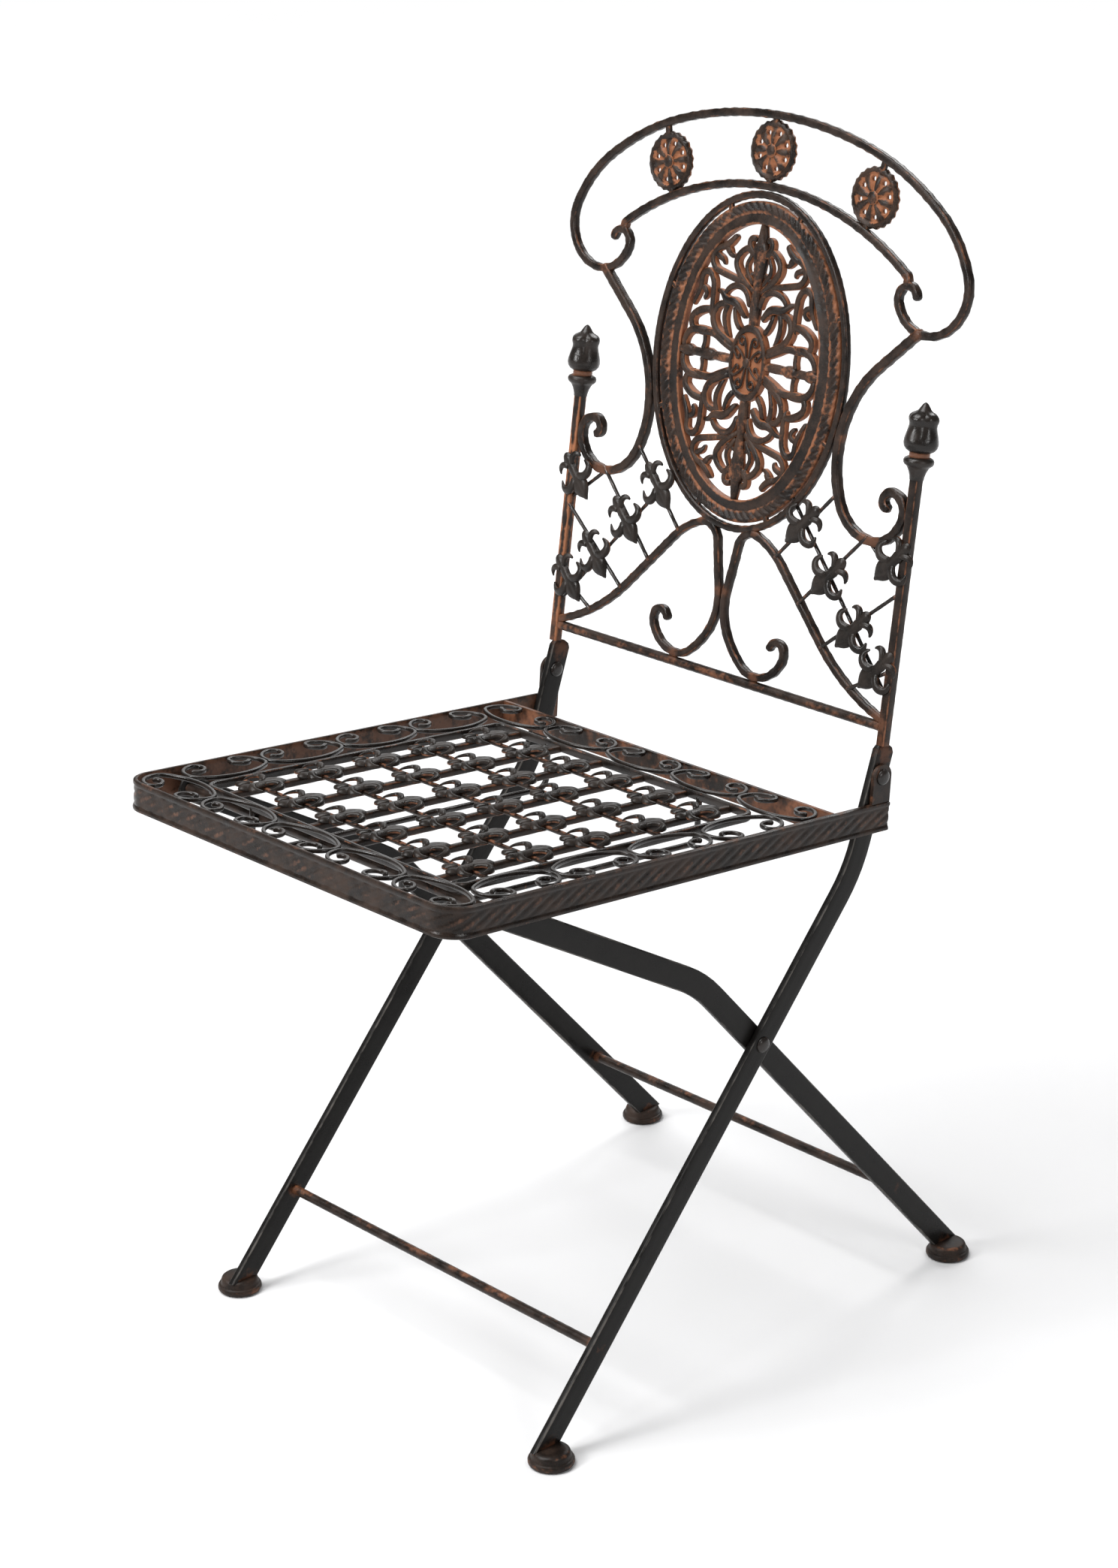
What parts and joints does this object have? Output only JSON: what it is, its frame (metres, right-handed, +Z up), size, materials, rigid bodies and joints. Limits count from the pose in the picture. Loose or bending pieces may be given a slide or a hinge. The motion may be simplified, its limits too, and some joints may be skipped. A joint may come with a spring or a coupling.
{
  "type": "folding_garden_chair",
  "caption": "Folding wrought-iron garden chair with a cast openwork oval and scrolls in the back, a pierced fleur-de-lis seat and crossed legs, in bronze-rubbed brown-black",
  "frame": {"origin": "on the floor, under the middle of the overall box", "axes": "+Z up, the sitter faces -Y, +X to the sitter's left"},
  "size_m": [0.4326, 0.563, 0.9367],
  "materials": {
    "wrought_frame": "brown-black paint over iron, satin, rubbed to copper at edges and welds",
    "cast_ornament": "brown-black paint over rough castings, copper rubbed on the high parts",
    "rivets": "brown-black paint, worn smooth"
  },
  "bodies": {
    "front_frame": {"right_front_leg": "wrought_frame", "left_front_leg": "wrought_frame", "front_stretcher": "wrought_frame", "front_feet": "wrought_frame", "crossing_rivets": "rivets", "right_post": "wrought_frame", "left_post": "wrought_frame", "post_finials": "cast_ornament", "back_bottom_rail": "wrought_frame", "crest_rail": "wrought_frame", "crest_inner_arch": "wrought_frame", "left_medallion": "cast_ornament", "centre_medallion": "cast_ornament", "right_medallion": "cast_ornament", "right_s_scroll": "wrought_frame", "left_s_scroll": "wrought_frame", "right_lyre_scroll": "wrought_frame", "left_lyre_scroll": "wrought_frame", "oval_outer_ring": "wrought_frame", "oval_cast_frame": "cast_ornament", "oval_filigree": "cast_ornament", "oval_boss": "cast_ornament", "right_back_lattice": "wrought_frame", "left_back_lattice": "wrought_frame", "right_back_fleurs": "cast_ornament", "left_back_fleurs": "cast_ornament"},
    "seat": {"seat_apron": "wrought_frame", "seat_rear_rail": "wrought_frame", "seat_inner_frame": "wrought_frame", "seat_lugs": "wrought_frame", "lug_rivets": "rivets", "seat_long_bars": "wrought_frame", "seat_cross_bars": "wrought_frame", "seat_fleurs_row_1": "cast_ornament", "seat_fleurs_row_2": "cast_ornament", "seat_fleurs_row_3": "cast_ornament", "seat_fleurs_row_4": "cast_ornament", "seat_fleurs_row_5": "cast_ornament", "front_border_scrolls": "wrought_frame", "rear_border_scrolls": "wrought_frame", "right_border_scrolls": "wrought_frame", "left_border_scrolls": "wrought_frame", "right_guide_rod": "wrought_frame", "left_guide_rod": "wrought_frame"},
    "rear_legs": {"right_rear_leg": "wrought_frame", "left_rear_leg": "wrought_frame", "rear_stretcher": "wrought_frame", "rear_feet": "wrought_frame"},
    "slide_rod": {"slide_rod": "wrought_frame"}
  },
  "joints": [
    {"name": "seat_fold", "type": "hinge", "parent": "front_frame", "child": "seat", "pos_m": [0, 0.16476, 0.455], "axis": [-1, 0, 0], "range_deg": [0, 80]},
    {"name": "rear_leg_swing", "type": "hinge", "parent": "front_frame", "child": "rear_legs", "pos_m": [0, 0.03576, 0.269], "axis": [-1, 0, 0], "range_deg": [0, 70]},
    {"name": "rod_slide", "type": "slide", "parent": "seat", "child": "slide_rod", "axis": [0, 0.9957, -0.0924], "range_m": [0, 0.263]}
  ],
  "couplings": [
    {"joint": "rear_leg_swing", "follows": "seat_fold", "ratio": 0.87},
    {"joint": "rod_slide", "follows": "seat_fold", "m_per_rad": 0.18729}
  ]
}
